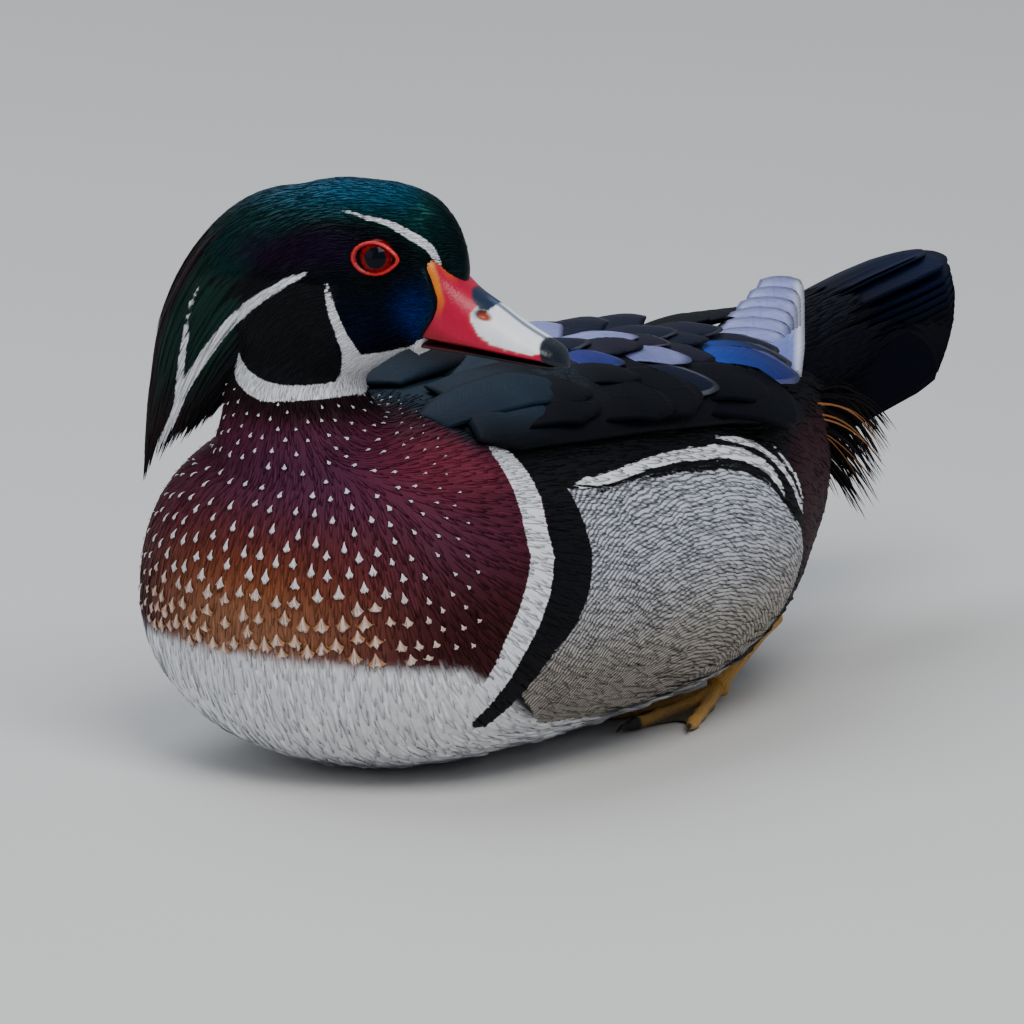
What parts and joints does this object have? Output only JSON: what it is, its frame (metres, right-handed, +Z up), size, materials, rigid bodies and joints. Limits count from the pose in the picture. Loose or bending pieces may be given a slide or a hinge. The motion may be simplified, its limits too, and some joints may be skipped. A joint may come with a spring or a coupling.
{
  "type": "wood duck",
  "caption": "Drake wood duck resting on its belly with folded wings, raised tail, drooping crest and head turned over its left shoulder; a still life-size model.",
  "frame": {"origin": "middle of the flat under the belly, on the floor", "axes": "the bird faces -Y with its tail towards +Y, its left side is +X and +Z is up"},
  "size_m": [0.1342, 0.3042, 0.1561],
  "materials": {
    "breast_plumage": "matte",
    "head_plumage": "satin",
    "neck_plumage": "matte",
    "crest_plumage": "satin",
    "bill_horn": "satin",
    "bill_dark": "satin",
    "eye": "polished",
    "wing_plumage": "satin",
    "tail_plumage": "satin",
    "rump_plumage": "matte",
    "leg_skin": "satin"
  },
  "bodies": {
    "root": {"torso": "breast_plumage", "head": "head_plumage", "neck": "neck_plumage", "crest": "crest_plumage", "upper_bill": "bill_horn", "lower_bill": "bill_dark", "eye_left": "eye", "eye_right": "eye", "wing_left": "wing_plumage", "wing_right": "wing_plumage", "tail": "tail_plumage", "rump": "rump_plumage", "foot_left": "leg_skin", "foot_right": "leg_skin"}
  },
  "joints": []
}
